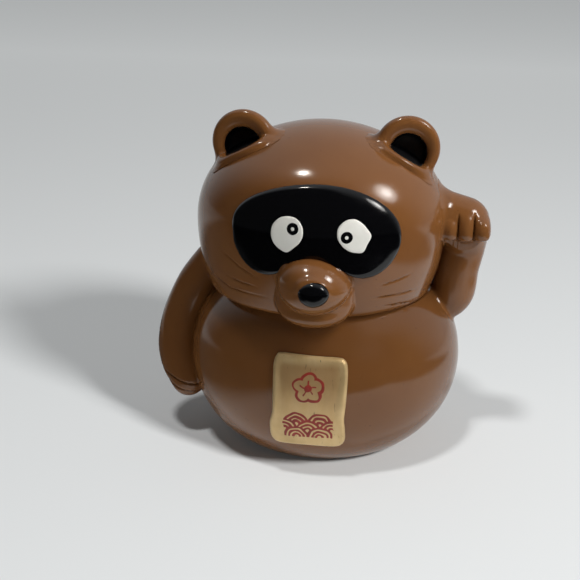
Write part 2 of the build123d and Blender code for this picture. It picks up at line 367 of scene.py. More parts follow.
def patch(outline, edge_rings, inner_rings, surface, thickness):
    """A closed coat with that outline. surface puts a point at a place and at a depth inside the edge."""
    bm = bmesh.new()
    ring = bmesh.ops.create_circle(bm, radius=1, segments=len(outline))["verts"]
    edges = list(bm.edges)
    rings = [ring]
    count = len(edge_rings) + inner_rings
    for _ in range(count - 1):
        grown = bmesh.ops.extrude_edge_only(bm, edges=edges)["geom"]
        new = {g for g in grown if isinstance(g, bmesh.types.BMVert)}
        edges = [g for g in grown if isinstance(g, bmesh.types.BMEdge) and new.issuperset(g.verts)]
        inside = {}
        for vert in new:
            for edge in vert.link_edges:
                inside[edge.other_vert(vert)] = vert
        rings.append([inside[vert] for vert in rings[-1]])
    for index, verts in enumerate(rings):
        for vert, (x, z) in zip(verts, outline):
            reach = hypot(x, z)
            depth = edge_rings[min(index, len(edge_rings) - 1)]
            share = 1 - depth / reach
            if index >= len(edge_rings):
                share *= 1 - (index - len(edge_rings) + 1) / (inner_rings + 1)
            vert.co = surface(x * share, z * share, reach * (1 - share))
    middle = surface(0, 0, min(hypot(x, z) for x, z in outline))
    cap = bm.faces.new(rings[-1])
    bmesh.ops.poke(bm, faces=[cap])
    bm.verts.ensure_lookup_table()
    bm.verts[-1].co = middle
    bmesh.ops.recalc_face_normals(bm, faces=bm.faces)
    bm.normal_update()
    if sum(f.normal.y for f in bm.faces) > 0:
        bmesh.ops.reverse_faces(bm, faces=bm.faces)
    bmesh.ops.solidify(bm, geom=bm.faces, thickness=thickness)
    bmesh.ops.recalc_face_normals(bm, faces=bm.faces)
    return bm


def pool_layer(bm):
    """Where the glaze runs together and dries darker, from 0 to 1."""
    return bm.verts.layers.float.get("pool") or bm.verts.layers.float.new("pool")


def flare(bm, form, fillet, verts=None):
    """Let a stuck-on piece run out onto its carrier in a fillet, whose radius fillet gives at a point."""
    pool = pool_layer(bm)
    bm.normal_update()
    for vert in verts or bm.verts:
        gap, up = form.gap(vert.co)
        radius = fillet(vert.co)
        if gap < radius:
            near = min((radius - gap) / radius, 1)
            along = vert.normal - up * vert.normal.dot(up)
            spread = radius * (1 - sqrt(1 - near**2))
            vert[pool] = max(vert[pool], fillet_pool * near * (1 - near))
            vert.co += along * spread


def nearest(x, z, line):
    """Distance of a place from a bent line, and how far along it that is, from 0 to 1."""
    best = (1e9, 0)
    runs = len(line) - 1
    for index, ((x0, z0), (x1, z1)) in enumerate(zip(line, line[1:])):
        dx, dz = x1 - x0, z1 - z0
        t = min(max(((x - x0) * dx + (z - z0) * dz) / (dx * dx + dz * dz), 0), 1)
        best = min(best, (hypot(x - x0 - dx * t, z - z0 - dz * t), (index + t) / runs))
    return best


def uneven(bm):
    """The slight unevenness of hand-finished clay, over a flat foot."""
    bm.normal_update()
    for vert in bm.verts:
        height = uneven_height * soft_step(0.5, 6, vert.co.z)
        vert.co += vert.normal * height * noise.noise(vert.co / uneven_size)


# Materials


def paint(code):
    """An sRGB hex colour as linear values."""
    channels = [int(code[i : i + 2], 16) / 255 for i in (1, 3, 5)]
    return (*[c / 12.92 if c <= 0.04045 else ((c + 0.055) / 1.055) ** 2.4 for c in channels], 1)


def per_mm(size):
    """Texture scale whose pattern repeats over a size in millimetres."""
    return 1 / (size * MM)


def feed(tree, node, inputs):
    """Give a node its inputs, as values or links."""
    for name, value in inputs.items():
        if isinstance(value, bpy.types.NodeSocket):
            tree.links.new(value, node.inputs[name])
        else:
            node.inputs[name].default_value = value


def add_node(tree, kind, inputs=None, **settings):
    """A node with its settings and its inputs."""
    node = tree.nodes.new(kind)
    for name, value in settings.items():
        setattr(node, name, value)
    feed(tree, node, inputs or {})
    return node


def new_material(name):
    """A bare material, its node tree, its shader and the place on its object."""
    material = bpy.data.materials.new(name)
    material.use_nodes = True
    tree = material.node_tree
    place = add_node(tree, "ShaderNodeTexCoord").outputs["Object"]
    return material, tree, tree.nodes["Principled BSDF"], place


# Chocolate-brown glaze over cast clay: a soft deep gloss, faint mottling, darker where it runs together
def chocolate_glaze():
    material, tree, shader, place = new_material("chocolate_brown_glaze")
    cloud, speck, film, ripple = [
        add_node(
            tree, "ShaderNodeTexNoise", {"Vector": place, "Scale": per_mm(size), "Detail": detail}
        ).outputs["Fac"]
        for size, detail in ((22, 3.0), (1.3, 1.0), (9, 4.0), (7, 1.5))
    ]
    pool = add_node(tree, "ShaderNodeAttribute", attribute_name="pool").outputs["Fac"]
    fleck = add_node(
        tree, "ShaderNodeMapRange", {"Value": speck, "From Min": 0.74, "From Max": 0.82, "To Max": 0.5}
    )
    deep = add_node(tree, "ShaderNodeMapRange", {"Value": pool, "From Min": 0.25, "To Max": 0.6})
    gloss = add_node(
        tree,
        "ShaderNodeMapRange",
        {"Value": film, "From Min": 0.3, "From Max": 0.75, "To Min": 0.1, "To Max": 0.19},
    ).outputs["Result"]
    colour = add_node(
        tree, "ShaderNodeMix", {0: cloud, 6: paint("#734826"), 7: paint("#82552d")}, data_type="RGBA"
    ).outputs[2]
    for share, code in ((fleck, "#3f2612"), (deep, "#452811")):
        colour = add_node(
            tree, "ShaderNodeMix", {0: share.outputs["Result"], 6: colour, 7: paint(code)}, data_type="RGBA"
        ).outputs[2]
    bump = add_node(
        tree, "ShaderNodeBump", {"Height": ripple, "Strength": 0.3, "Distance": 0.03 * MM}
    ).outputs["Normal"]
    feed(tree, shader, {"Base Color": colour, "Roughness": gloss, "Normal": bump, "IOR": 1.55})
    return material


# A coat of two near colours with a fine grain, dry or satin
def plain_coat(name, size, detail, colours, strength, depth, roughness):
    material, tree, shader, place = new_material(name)
    grain = add_node(
        tree, "ShaderNodeTexNoise", {"Vector": place, "Scale": per_mm(size), "Detail": detail}
    ).outputs["Fac"]
    colour = add_node(
        tree, "ShaderNodeMix", {0: grain, 6: paint(colours[0]), 7: paint(colours[1])}, data_type="RGBA"
    ).outputs[2]
    bump = add_node(
        tree, "ShaderNodeBump", {"Height": grain, "Strength": strength, "Distance": depth * MM}
    ).outputs["Normal"]
    feed(tree, shader, {"Base Color": colour, "Roughness": roughness, "Normal": bump})
    return material


# Black overglaze enamel: almost no colour of its own, glossy, with faint brush marks and dust
def black_enamel(name, smoothest, roughest):
    material, tree, shader, place = new_material(name)
    stroke = add_node(
        tree, "ShaderNodeMapping", {"Vector": place, "Scale": (1.0, 1.0, 3.5)}
    ).outputs["Vector"]
    dust, brush = [
        add_node(
            tree, "ShaderNodeTexNoise", {"Vector": where, "Scale": per_mm(size), "Detail": detail}
        ).outputs["Fac"]
        for where, size, detail in ((place, 0.9, 2.0), (stroke, 5, 3.0))
    ]
    speck = add_node(
        tree, "ShaderNodeMapRange", {"Value": dust, "From Min": 0.72, "From Max": 0.84, "To Max": 0.25}
    ).outputs["Result"]
    gloss = add_node(
        tree,
        "ShaderNodeMapRange",
        {"Value": brush, "From Min": 0.3, "From Max": 0.75, "To Min": smoothest, "To Max": roughest},
    ).outputs["Result"]
    colour = add_node(
        tree, "ShaderNodeMix", {0: speck, 6: paint("#050507"), 7: paint("#2a2c30")}, data_type="RGBA"
    ).outputs[2]
    bump = add_node(
        tree, "ShaderNodeBump", {"Height": brush, "Strength": 0.25, "Distance": 0.04 * MM}
    ).outputs["Normal"]
    feed(tree, shader, {"Base Color": colour, "Roughness": gloss, "Normal": bump, "IOR": 1.5})
    return material


# Gold lustre brushed over glaze: a pale satin metal film, rubbed in places, with red brush lines on it, and
# with painted shade that browns the field towards its top, under the raised border
def gold_lustre():
    material, tree, shader, place = new_material("brushed_gold_lustre")
    down = add_node(tree, "ShaderNodeMapping", {"Vector": place, "Scale": (1.0, 1.0, 0.3)}).outputs["Vector"]
    aslant = add_node(
        tree, "ShaderNodeMapping", {"Vector": place, "Rotation": (0.0, 0.5, 0.0), "Scale": (1.0, 1.0, 0.12)}
    ).outputs["Vector"]
    streak, cloud, score, load = [
        add_node(
            tree, "ShaderNodeTexNoise", {"Vector": where, "Scale": per_mm(size), "Detail": detail}
        ).outputs["Fac"]
        for where, size, detail in ((down, 2.2, 4.0), (place, 11, 3.0), (aslant, 1.1, 2.0), (place, 5, 2.0))
    ]
    # painted shade: the field is browner towards its top, under the raised border
    shade_share = add_node(tree, "ShaderNodeAttribute", attribute_name="painted_field_shade").outputs["Fac"]
    line = add_node(tree, "ShaderNodeAttribute", attribute_name="brush_line").outputs["Fac"]
    stain, scratch = [
        add_node(
            tree, "ShaderNodeMapRange", {"Value": value, "From Min": low, "From Max": high, "To Max": most}
        ).outputs["Result"]
        for value, low, high, most in ((cloud, 0.4, 0.75, 0.55), (score, 0.67, 0.74, 0.6))
    ]
    inked = add_node(
        tree, "ShaderNodeMapRange", {"Value": line, "From Min": 0.12, "From Max": -0.08}
    ).outputs["Result"]
    metal = add_node(
        tree, "ShaderNodeMapRange", {"Value": inked, "To Min": 0.45, "To Max": 0.0}
    ).outputs["Result"]
    satin = add_node(
        tree,
        "ShaderNodeMapRange",
        {"Value": streak, "From Min": 0.3, "From Max": 0.7, "To Min": 0.36, "To Max": 0.52},
    ).outputs["Result"]
    film = add_node(
        tree, "ShaderNodeMix", {0: streak, 6: paint("#dcb87c"), 7: paint("#f4d9a6")}, data_type="RGBA"
    ).outputs[2]
    for share, code in ((stain, "#b99866"), (shade_share, "#a3703d"), (scratch, "#57422a")):
        film = add_node(
            tree, "ShaderNodeMix", {0: share, 6: film, 7: paint(code)}, data_type="RGBA"
        ).outputs[2]
    red = add_node(
        tree, "ShaderNodeMix", {0: load, 6: paint("#5a1d12"), 7: paint("#c0342a")}, data_type="RGBA"
    ).outputs[2]
    painted = add_node(tree, "ShaderNodeMix", {0: inked, 6: film, 7: red}, data_type="RGBA").outputs[2]
    bump = add_node(
        tree, "ShaderNodeBump", {"Height": streak, "Strength": 0.3, "Distance": 0.05 * MM}
    ).outputs["Normal"]
    feed(tree, shader, {"Base Color": painted, "Metallic": metal, "Roughness": satin, "Normal": bump})
    return material


crisp_edge = radians(40)
brown = chocolate_glaze()
# unglazed earthenware on the foot ring: pale, dry and grainy
clay_body = plain_coat("unglazed_earthenware", 0.8, 6.0, ("#c3a583", "#dcc6a8"), 0.5, 0.1, 0.9)
black = black_enamel("black_overglaze_enamel", 0.08, 0.17)
black_wash = black_enamel("thin_black_enamel_wash", 0.42, 0.6)
# white overglaze enamel: satin, thick and slightly uneven from the brush
white = plain_coat("white_overglaze_enamel", 3, 4.0, ("#e9e7de", "#f6f4ec"), 0.3, 0.05, 0.38)
gold = gold_lustre()


def finish_piece(bm, node, slot, *materials):
    """Put a form into metres and let it stand for its solid."""
    bmesh.ops.scale(bm, vec=(MM, MM, MM), verts=bm.verts)
    mesh = bpy.data.meshes.new(f"{node}_skin")
    bm.to_mesh(mesh)
    bm.free()
    mesh.shade_smooth()
    mesh.set_sharp_from_angle(angle=crisp_edge)
    for material in materials:
        mesh.materials.append(material)
    piece = bpy.data.objects.new(f"{node}_skin", mesh)
    scene.collection.objects.link(piece)
    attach(piece, "root")
    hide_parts(node)
    return piece


# Torso, as a thin-walled casting with a flat foot ring, a shallow recess and the drain hole
upright = Vector((0, 0, 1))
sideways = Vector((1, 0, 0))
foot_turn = asin(belly_height / hip_arc)
shoulder_turn = asin((neck_height - belly_height) / shoulder_arc)
shoulder_centre = torso_radius - shoulder_arc
hip_centre = torso_radius - hip_arc
ring_inner = foot_radius - foot_ring
bare_radius = foot_radius - 0.2
torso_profile = [(neck_opening, neck_height)]
torso_profile += arc_points(shoulder_centre, belly_height, shoulder_arc, shoulder_turn, 0, torso_fine)
torso_profile += arc_points(hip_centre, belly_height, hip_arc, 0, -foot_turn, torso_fine)[1:]
torso_profile += [(ring_inner, 0), (ring_inner, foot_recess), (drain_radius, foot_recess)]
torso_profile += [(drain_radius, floor_thickness)]
hip_lining = arc_points(hip_centre, belly_height, hip_arc - wall, -foot_turn, 0, torso_coarse)
torso_profile += [point for point in hip_lining if point[1] > floor_thickness]
shoulder_lining = arc_points(shoulder_centre, belly_height, shoulder_arc - wall, 0, shoulder_turn, torso_coarse)
torso_profile += [point for point in shoulder_lining[1:] if point[1] < neck_height - wall]
torso_profile += [(neck_opening, neck_height - wall)]
torso_bm = spun(torso_profile, Vector((0, 0, 0)), sideways, upright, torso_steps, True)
uneven(torso_bm)
for torso_face in torso_bm.faces:
    middle = torso_face.calc_center_median()
    is_bare = middle.z < floor_thickness and hypot(middle.x, middle.y) < bare_radius
    torso_face.material_index = int(is_bare)
torso_piece = finish_piece(torso_bm, "torso_shell", "brown_glaze", brown, clay_body)

# Head, with whisker lines cut into the cheeks
whisker_lines = (
    ((-34.7, -5.3), (-27.0, -10.0), (-19.2, -13.3)),
    ((-33.0, -15.1), (-26.0, -16.2), (-19.7, -16.5)),
    ((-42.0, -17.4), (-31.0, -20.0), (-15.5, -19.8)),
    ((20.7, -14.8), (28.1, -13.5), (33.7, -11.9)),
    ((18.5, -19.1), (27.5, -19.4), (36.6, -19.8)),
    ((23.6, -23.4), (29.5, -24.0), (34.4, -25.3)),
)
whisker_width = 0.5
whisker_depth = 0.32
whisker_taper = 0.3
whisker_pool = 0.8
# the cheeks: least distance from the middle, lowest and highest place, and how far back
cheek_from, cheek_low, cheek_high, cheek_back = 11, -26.5, 0, 5
face_gather = 0.45
head_axis = Vector((head.axis.x, head.axis.y, 0))
head_profile = arc_points(0, crown_level, crown_radius, pi / 2, crown_turn, crown_fine)
head_profile += arc_points(cheek_centre, head_ring, cheek_radius, crown_turn, 0, cheek_fine)[1:]
head_profile += arc_points(jowl_centre, head_ring, jowl_arc, 0, jowl_turn, jowl_fine)[1:]
head_profile += arc_points(jowl_edge_centre, jowl_edge_height, jowl_round, jowl_turn, -pi / 2, jowl_fine)[1:]
head_profile += [(neck_opening, neck_height), (neck_opening, neck_height + wall)]
jowl_lining = arc_points(jowl_centre, head_ring, jowl_arc - wall, jowl_turn, 0, head_coarse)
head_profile += [point for point in jowl_lining if point[1] > neck_height + wall]
head_profile += arc_points(cheek_centre, head_ring, cheek_radius - wall, 0, crown_turn, head_coarse)[1:]
head_profile += arc_points(0, crown_level, crown_radius - wall, crown_turn, pi / 2, head_coarse)[1:]
head_bm = spun(head_profile, head_axis, sideways, upright, head_steps, False)
head_pool = pool_layer(head_bm)
uneven(head_bm)
for vert in head_bm.verts:
    # more of the rings' points go to the face
    out = vert.co - head_axis
    reach = hypot(out.x, out.y)
    from_front = atan2(out.x, -out.y)
    turn = from_front - face_gather * sin(from_front)
    vert.co.x = head_axis.x + reach * sin(turn)
    vert.co.y = head_axis.y - reach * cos(turn)
head_bm.normal_update()
for vert in head_bm.verts:
    gap, up = head.gap(vert.co)
    x, z = vert.co.x - face.x, vert.co.z - face.z
    on_skin = gap >= -1 and vert.co.y <= head_axis.y + cheek_back
    if not (on_skin and cheek_low < z < cheek_high and abs(x) >= cheek_from):
        continue
    for line in whisker_lines:
        away, along = nearest(x, z, line)
        if away < whisker_width:
            taper = min(1, along / whisker_taper, (1 - along) / whisker_taper)
            cut = groove(away / whisker_width) * taper
            vert.co -= up * whisker_depth * cut
            vert[head_pool] = max(vert[head_pool], whisker_pool * cut)
finish_piece(head_bm, "head_shell", "brown_glaze", brown)


# Ears: a thick rim round a shallow bowl, laid onto the head, with black enamel in the bowl
def oval_points(girth, rise, flattening, spacing):
    """A quarter of an oval from its girth to its top, as the side arc and the crown arc."""
    side = rise - flattening
    centre = girth - side
    crown = (rise**2 + centre**2 - side**2) / (2 * flattening)
    turn = atan2(crown - rise, centre)
    points = arc_points(centre, 0, side, 0, turn, spacing)
    return points + arc_points(0, rise - crown, crown, turn, pi / 2, spacing)[1:]


rim_radius = ear_rim / 2
rim_reach = ear_radius - rim_radius
bowl_radius = ear_radius - ear_rim
bowl = oval_points(bowl_radius, ear_bowl, ear_bowl_flattening, ear_fine)
ear_profile = oval_points(ear_radius, ear_back, ear_back_flattening, ear_fine)[::-1]
ear_profile += arc_points(rim_reach, 0, rim_radius, 0, -pi, rim_fine)[1:]
ear_profile += bowl[1:]
lining_start = lining_reach - pi
coat = arc_points(rim_reach, 0, rim_radius + lining_coat, lining_start, -pi, rim_fine)[:-1]
coat += [(reach - lining_coat, depth - lining_coat) for reach, depth in bowl[:-1]]
coat += [(0, ear_bowl - lining_coat)]
under = arc_points(rim_reach, 0, rim_radius - lining_coat, lining_start, -pi, rim_fine)[:-1]
under += [(reach, depth + lining_coat) for reach, depth in bowl[:-1]]
under += [(0, ear_bowl + lining_coat)]
lining_profile = coat + under[::-1]


def laid_on_head(bm, centre, backwards):
    """Let an ear's front run down onto the head, its rim as a low ridge round the bowl."""
    for vert in bm.verts:
        out = vert.co - centre
        back = out.dot(backwards)
        across = out - backwards * back
        reach = across.length
        behind = reach > bowl_radius + 0.4 or back > ear_bowl + ear_bowl_edge
        if reach < 0.01 or (back > 0 and behind):
            continue
        vert.co.z -= ear_bowl_drop * max(1 - (reach / rim_reach) ** 2, 0)
        rim = max(1 - ((reach - rim_reach) / rim_radius) ** 2, 0)
        if rim > 0:
            depth = -rim_radius * sqrt(rim)
        else:
            depth = ear_bowl * sqrt(max(1 - (reach / bowl_radius) ** 2, 0))
        gap, up = head.gap(vert.co + backwards * (depth - back))
        wanted = ear_stand_off + ear_ridge * rim
        if reach >= rim_reach:
            wanted += (ear_sink + ear_stand_off) * (rim - 1)
        low = wanted - gap
        lift = (up - backwards * ear_ridge_lean).normalized()
        vert.co += lift * (low + sqrt(low**2 + ear_softness)) / 2 / lift.dot(up)


for side, name in ((-1, "right"), (1, "left")):
    across = side * (head_radius - ear_inset)
    rise = head.height_at(hypot(across, ear_forward)) - face.z + ear_lift
    ear_centre = face + Vector((across, -ear_forward, rise))
    backwards = Vector((-side * sin(ear_turn), cos(ear_turn), 0))
    ear_bm = spun(ear_profile, ear_centre, upright, backwards, ear_steps, False)
    rub(ear_bm, ear_rubs)
    pool_layer(ear_bm)
    outside = []
    for vert in ear_bm.verts:
        out = vert.co - ear_centre
        back = out.dot(backwards)
        if back > ear_bowl + ear_bowl_edge or (out - backwards * back).length > rim_reach:
            outside.append(vert)
    laid_on_head(ear_bm, ear_centre, backwards)
    flare(ear_bm, head, lambda point: ear_fillet, outside)
    finish_piece(ear_bm, f"{name}_ear", "brown_glaze", brown)

    lining_bm = spun(lining_profile, ear_centre, upright, backwards, ear_steps, True)
    laid_on_head(lining_bm, ear_centre, backwards)
    finish_piece(lining_bm, f"{name}_ear_lining", "black_enamel", black_wash)

# Mask: a raised bean-shaped coat with a notch over the muzzle, swelling under each eye
right_eye_place = (-9.3, 4.9)
left_eye_place = (13.2, 4.7)
lobe_x = lobe_spacing / 2
mask_points = 90
mask_corner = 0.35
mask_rings = (0, 0.05, 0.12, 0.25, 0.45, 0.75, 1.1, 1.6, 2.2, 3.0)
# turns at which the edge goes over from the notch to a lobe, and from the lobe to the brow
lobe_turn, brow_turn = 0.2, 0.45


def mask_edge(turn):
    """Edge of the mask's left half at a turn from 1, its top, to 0, its notch."""
    if turn > brow_turn:
        angle = (turn - brow_turn) / (1 - brow_turn) * pi / 2
        return mask_width / 2 * cos(angle), mask_line + mask_rise * sin(angle)
    if turn > lobe_turn:
        angle = (turn - lobe_turn) / (brow_turn - lobe_turn) * pi / 2 - pi / 2
        return lobe_x + (mask_width / 2 - lobe_x) * cos(angle), mask_line + lobe_drop * sin(angle)
    run = turn / lobe_turn
    return lobe_x * run, mask_line - notch_drop + (notch_drop - lobe_drop) * soft_step(0, 1, run)


left_half = [mask_edge(i / mask_points) for i in range(1, mask_points)]
right_half = []
for x, z in left_half:
    corner = mask_corner * max(z - mask_line, 0) / mask_rise * x / mask_width
    right_half.append((-x * (1 + corner), z))
mask_outline = [mask_edge(0), *left_half, mask_edge(1), *right_half[::-1]]
mask_outline = [(x, z - mask_line) for x, z in mask_outline]


def eye_swell(x, z):
    """Rise of the mask over the two eyes."""
    away = min(hypot(x - ex, z - ez) for ex, ez in (right_eye_place, left_eye_place))
    return eye_mound * soft_step(*eye_mound_edge, away)


def mask_surface(x, z, depth):
    """The mask's front: its edge rolls over, furthest at its upper left."""
    z += mask_line
    fullness = mask_fullness * soft_step(*mask_full_x, x) * soft_step(*mask_full_z, z)
    roll = max(1 - depth / (mask_roll + fullness), 0)
    lift = mask_thickness - mask_edge_rise * (1 - sqrt(1 - roll**2))
    # below the eyes the front stands upright while the head draws in
    lift += min(z - mask_upright, 0) ** 2 / (2 * jowl_arc)
    # along the foot of each lobe it falls away again
    lift -= lobe_fall * max(lobe_band - depth, 0) * soft_step(*lobe_foot, z)
    return on_face(x, z, lift + eye_swell(x, z))


mask_bm = patch(mask_outline, mask_rings, 40, mask_surface, 1.6)
finish_piece(mask_bm, "eye_mask", "black_enamel", black)

# Eyes, painted freehand: each edge as radii round the eye, from the figure's left and upwards
right_eye_edge = (5.4, 5.9, 6.2, 6.0, 5.9, 5.8, 5.6, 5.6, 5.7, 6.1, 5.0, 5.0)
left_eye_edge = (5.8, 5.0, 5.1, 5.8, 6.1, 6.1, 5.5, 4.9, 4.9, 5.4, 6.3, 5.4)
right_gaze = (1.9, 2.1)
left_gaze = (-2.3, -0.1)
dot_points = 48
dot = [(cos(2 * pi * i / dot_points), sin(2 * pi * i / dot_points)) for i in range(dot_points)]


def freehand(radii, steps):
    """Closed outline of radii set evenly round a middle."""
    turns = [2 * pi * i / len(radii) for i in range(len(radii))]
    return loop([(r * cos(turn), r * sin(turn)) for r, turn in zip(radii, turns)], steps)


def enamel_spot(node, slot, material, place, outline, below, coat):
    """A spot of enamel on the mask, thickest in its middle."""

    def surface(x, z, depth):
        lift = mask_thickness + eye_mound + below + coat * min(1, coat_at_edge + depth / coat_run)
        return on_face(place[0] + x, place[1] + z, lift)

    finish_piece(patch(outline, (0, 0.1, 0.25, 0.5), 14, surface, 0.5), node, slot, material)


for name, place, edge, gaze in (
    ("right", right_eye_place, right_eye_edge, right_gaze),
    ("left", left_eye_place, left_eye_edge, left_gaze),
):
    looks_at = (place[0] + gaze[0], place[1] + gaze[1])
    pupil = [(pupil_radius * x, pupil_radius * z) for x, z in dot]
    glint = [(glint_radius * x, glint_radius * z) for x, z in dot]
    enamel_spot(f"{name}_eye", "white_enamel", white, place, freehand(edge, 10), 0, eye_coat)
    enamel_spot(f"{name}_pupil", "black_enamel", black, looks_at, pupil, eye_coat, pupil_coat)
    enamel_spot(f"{name}_glint", "white_enamel", white, looks_at, glint, eye_coat + pupil_coat, glint_coat)

# Muzzle, lower jaw and nose
muzzle_centre = face + Vector((0, muzzle_size[1] / 2 - head_radius - muzzle_reach, -muzzle_drop))
muzzle_bm = ball(muzzle_centre, muzzle_size, 7)
nose_forward = (muzzle_size[1] - nose_size[1]) / 2 + nose_reach
nose_centre = muzzle_centre + Vector((nose_sideways, -nose_forward, nose_lift))
muzzle_bm.normal_update()
for vert in muzzle_bm.verts:
    # glaze gathers in a collar round the nose
    out = vert.co - nose_centre
    if out.y < nose_size[1]:
        away = hypot(out.x / nose_size[0], out.z / nose_size[2]) * 2
        vert.co += vert.normal * nose_collar * soft_step(1.6, 0.95, away) ** 2 * soft_step(-1, 3, out.z)
    vert.co.x -= muzzle_lean * max(vert.co.z - muzzle_centre.z, 0)


def muzzle_flank(point):
    """Fillet of the muzzle on the head, widest at its sides under the mask."""
    out = point - muzzle_centre
    beside = muzzle_fillet * soft_step(4, 11, abs(out.x))
    return 0.5 + beside * soft_step(-4, 9, out.z) * soft_step(10, 6.5, out.z)


flare(muzzle_bm, head, muzzle_flank)
finish_piece(muzzle_bm, "muzzle", "brown_glaze", brown)

jaw_centre = face + Vector((0, jaw_size[1] / 2 - head_radius - jaw_reach, -jaw_drop))
jaw_bm = ball(jaw_centre, jaw_size, 7)
for vert in jaw_bm.verts:
    # a full lower lip, drawn up into corners beside the muzzle, with a groove between the two
    out = vert.co - jaw_centre
    down = -2 * out.z / jaw_size[2]
    full = flank = fuller(down, jaw_fullness)
    if -0.9 < down < 0:
        flank = (1 + mouth_corner[0] * out.z**2 + mouth_corner[1] * out.z**3) / sqrt(1 - down**2)
    vert.co.x = jaw_centre.x + out.x * flank
    vert.co.y = jaw_centre.y + out.y * full * (1 - mouth_groove * soft_step(6.5, 2, -out.z))


def jaw_flank(point):
    """Fillet of the jaw on the head, widest under the lip."""
    return 0.3 + jaw_fillet * soft_step(6, -2, point.z - jaw_centre.z)


flare(jaw_bm, head, jaw_flank)
finish_piece(jaw_bm, "lower_jaw", "brown_glaze", brown)

nose_bm = ball(nose_centre, nose_size, 6)
for vert in nose_bm.verts:
    # the front stands upright down to a full lower edge
    down = 2 * (nose_centre.z - vert.co.z) / nose_size[2]
    vert.co.y = nose_centre.y + (vert.co.y - nose_centre.y) * fuller(down, nose_fullness)
finish_piece(nose_bm, "nose_tip", "black_enamel", black)

# Raised arm: a forearm up the side of the head, and a paw that bends forward with three hanging fingers
raised_arm = (
    (43.5, 1.5, 52.5, 7.0),
    (47.6, 1.6, 58.0, 8.5),
    (49.2, 0.8, 68.0, 8.2),
    (51.2, 0.2, 78.0, 8.2),
    (50.3, -4.0, 86.6, 9.8),
)
paw_root = ((41.5, -3.5, 89.8, 9.0), (50.3, -4.0, 86.6, 9.8))
finger_places = (45.2, 51.0, 56.8)
finger_radius = 3.3
finger_forward = -12.0
finger_back = finger_forward + 3.5
fingertip = 81.4
ledge = 83.0
arm_voxel = 0.4
arm_rubs = 12
arm_beads = [glide(raised_arm, 12), glide(paw_root, 8)]
hand_x, hand_y, hand_z, hand_radius = raised_arm[-1]
for x in finger_places:
    # each finger comes out of the hand's round back over one knuckle
    knuckle = sqrt(hand_radius**2 - (x - hand_x) ** 2) - finger_radius
    arm_beads.append(
        glide(
            (
                (x, hand_y - 0.5 * knuckle, hand_z + 0.6 * knuckle, finger_radius - 0.9),
                (x, hand_y - 0.87 * knuckle - 0.4, hand_z + 0.45 * knuckle, finger_radius - 0.2),
                (x, finger_forward + 0.4, hand_z, finger_radius),
                (x, finger_forward, fingertip + finger_radius, finger_radius),
            ),
            8,
        )
    )
arm_bm = modelled(arm_beads, arm_voxel, arm_rubs)
arm_pool = pool_layer(arm_bm)
finger_gaps = [(a + b) / 2 for a, b in zip(finger_places, finger_places[1:])]
groove_width = 0.6
groove_depth = 1.2
knuckle_width = 2.9
knuckle_rise = 0.3
arm_bm.normal_update()
for vert in arm_bm.verts:
    if vert.co.y < finger_forward + 3 and vert.co.z < ledge:
        vert.co.z = ledge - (ledge - vert.co.z) * 0.5
    if vert.co.y < finger_back:
        onto_fingers = soft_step(93, 88.5, vert.co.z) * soft_step(finger_back, finger_back - 3, vert.co.y)
        away = min(abs(vert.co.x - x) for x in finger_places) / knuckle_width
        vert.co += vert.normal * knuckle_rise * onto_fingers * (1 - min(away, 1) ** 2)
        for x in finger_gaps:
            away = abs(vert.co.x - x)
            if away < groove_width:
                cut = groove(away / groove_width) * onto_fingers
                vert.co.y += groove_depth * cut
                vert[arm_pool] = max(vert[arm_pool], cut)
flare(arm_bm, head, lambda point: 1.8 + 2.4 * soft_step(86, 94, point.z))
flare(arm_bm, torso, lambda point: 1.5)
finish_piece(arm_bm, "raised_arm", "brown_glaze", brown)

# Lowered arm: it lies against the torso, with two lines across the paw between its fingers
lowered_arm = (
    (-44.9, 1.9, 66.0, 6.5),
    (-49.6, 0.0, 57.0, 8.0),
    (-54.1, -0.9, 46.0, 8.4),
    (-56.0, -3.9, 36.0, 8.5),
    (-54.7, -7.7, 28.5, 8.2),
    (-51.4, -11.9, 22.0, 6.8),
)
paw_lines = (Vector((-54.0, -15.0, 23.6)), Vector((-53.0, -16.0, 19.8)))
paw_line_normal = Vector((0.22, -0.12, 0.97)).normalized()
paw_line_width = 0.6
paw_line_depth = 0.5
lowered_bm = modelled([glide(lowered_arm, 12)], arm_voxel, arm_rubs)
lowered_pool = pool_layer(lowered_bm)
lowered_bm.normal_update()
for vert in lowered_bm.verts:
    for spot in paw_lines:
        away = abs((vert.co - spot).dot(paw_line_normal))
        if away < paw_line_width and vert.co.z < 30:
            cut = groove(away / paw_line_width) * soft_step(-6, -11, vert.co.y)
            vert.co -= vert.normal * paw_line_depth * cut
            vert[lowered_pool] = max(vert[lowered_pool], cut)
flare(lowered_bm, torso, lambda point: 0.25)
flare(lowered_bm, head, lambda point: 2.0)
finish_piece(lowered_bm, "lowered_arm", "brown_glaze", brown)

# Belly plaque: a hand-cut pad with a soft raised border, and a blossom over waves in brush lines
plaque_middle = (-1.7, 31.0)
plaque_edge = (
    (13.5, 8.6), (13.3, 13.6), (12.3, 16.0), (9.8, 16.9), (0.6, 17.3), (-9.6, 17.5), (-11.8, 16.4),
    (-12.7, 13.8), (-12.8, 10.0), (-12.8, 3.8), (-12.9, -3.5), (-13.9, -8.7), (-13.8, -14.4), (-12.8, -17.0),
    (-10.2, -18.2), (-0.3, -18.0), (9.4, -18.4), (12.0, -17.2), (13.0, -14.6), (13.0, -10.5), (12.7, -5.6),
    (13.1, -0.3),
)
plaque_thickness = 1.7
plaque_round = 1.3
border_width = 2.4
border_rise = 0.42
line_width = 0.9
line_rise = 0.06
hand_wobble = 0.5
blossom_middle = (0.0, 6.3)
petal_radius = 2.5
petal_reach = 2.9
heart_radius = 0.9
thread_from, thread_to, thread_thinning = 1.3, 2.7, 0.15
wave_radius = 4.2
wave_rows = ((-13.5, (-4.2, 4.2)), (-10.6, (-8.4, 0.0, 8.4)), (-7.7, (-4.2, 4.2)))
wave_rings = (1, 0.64, 0.28)
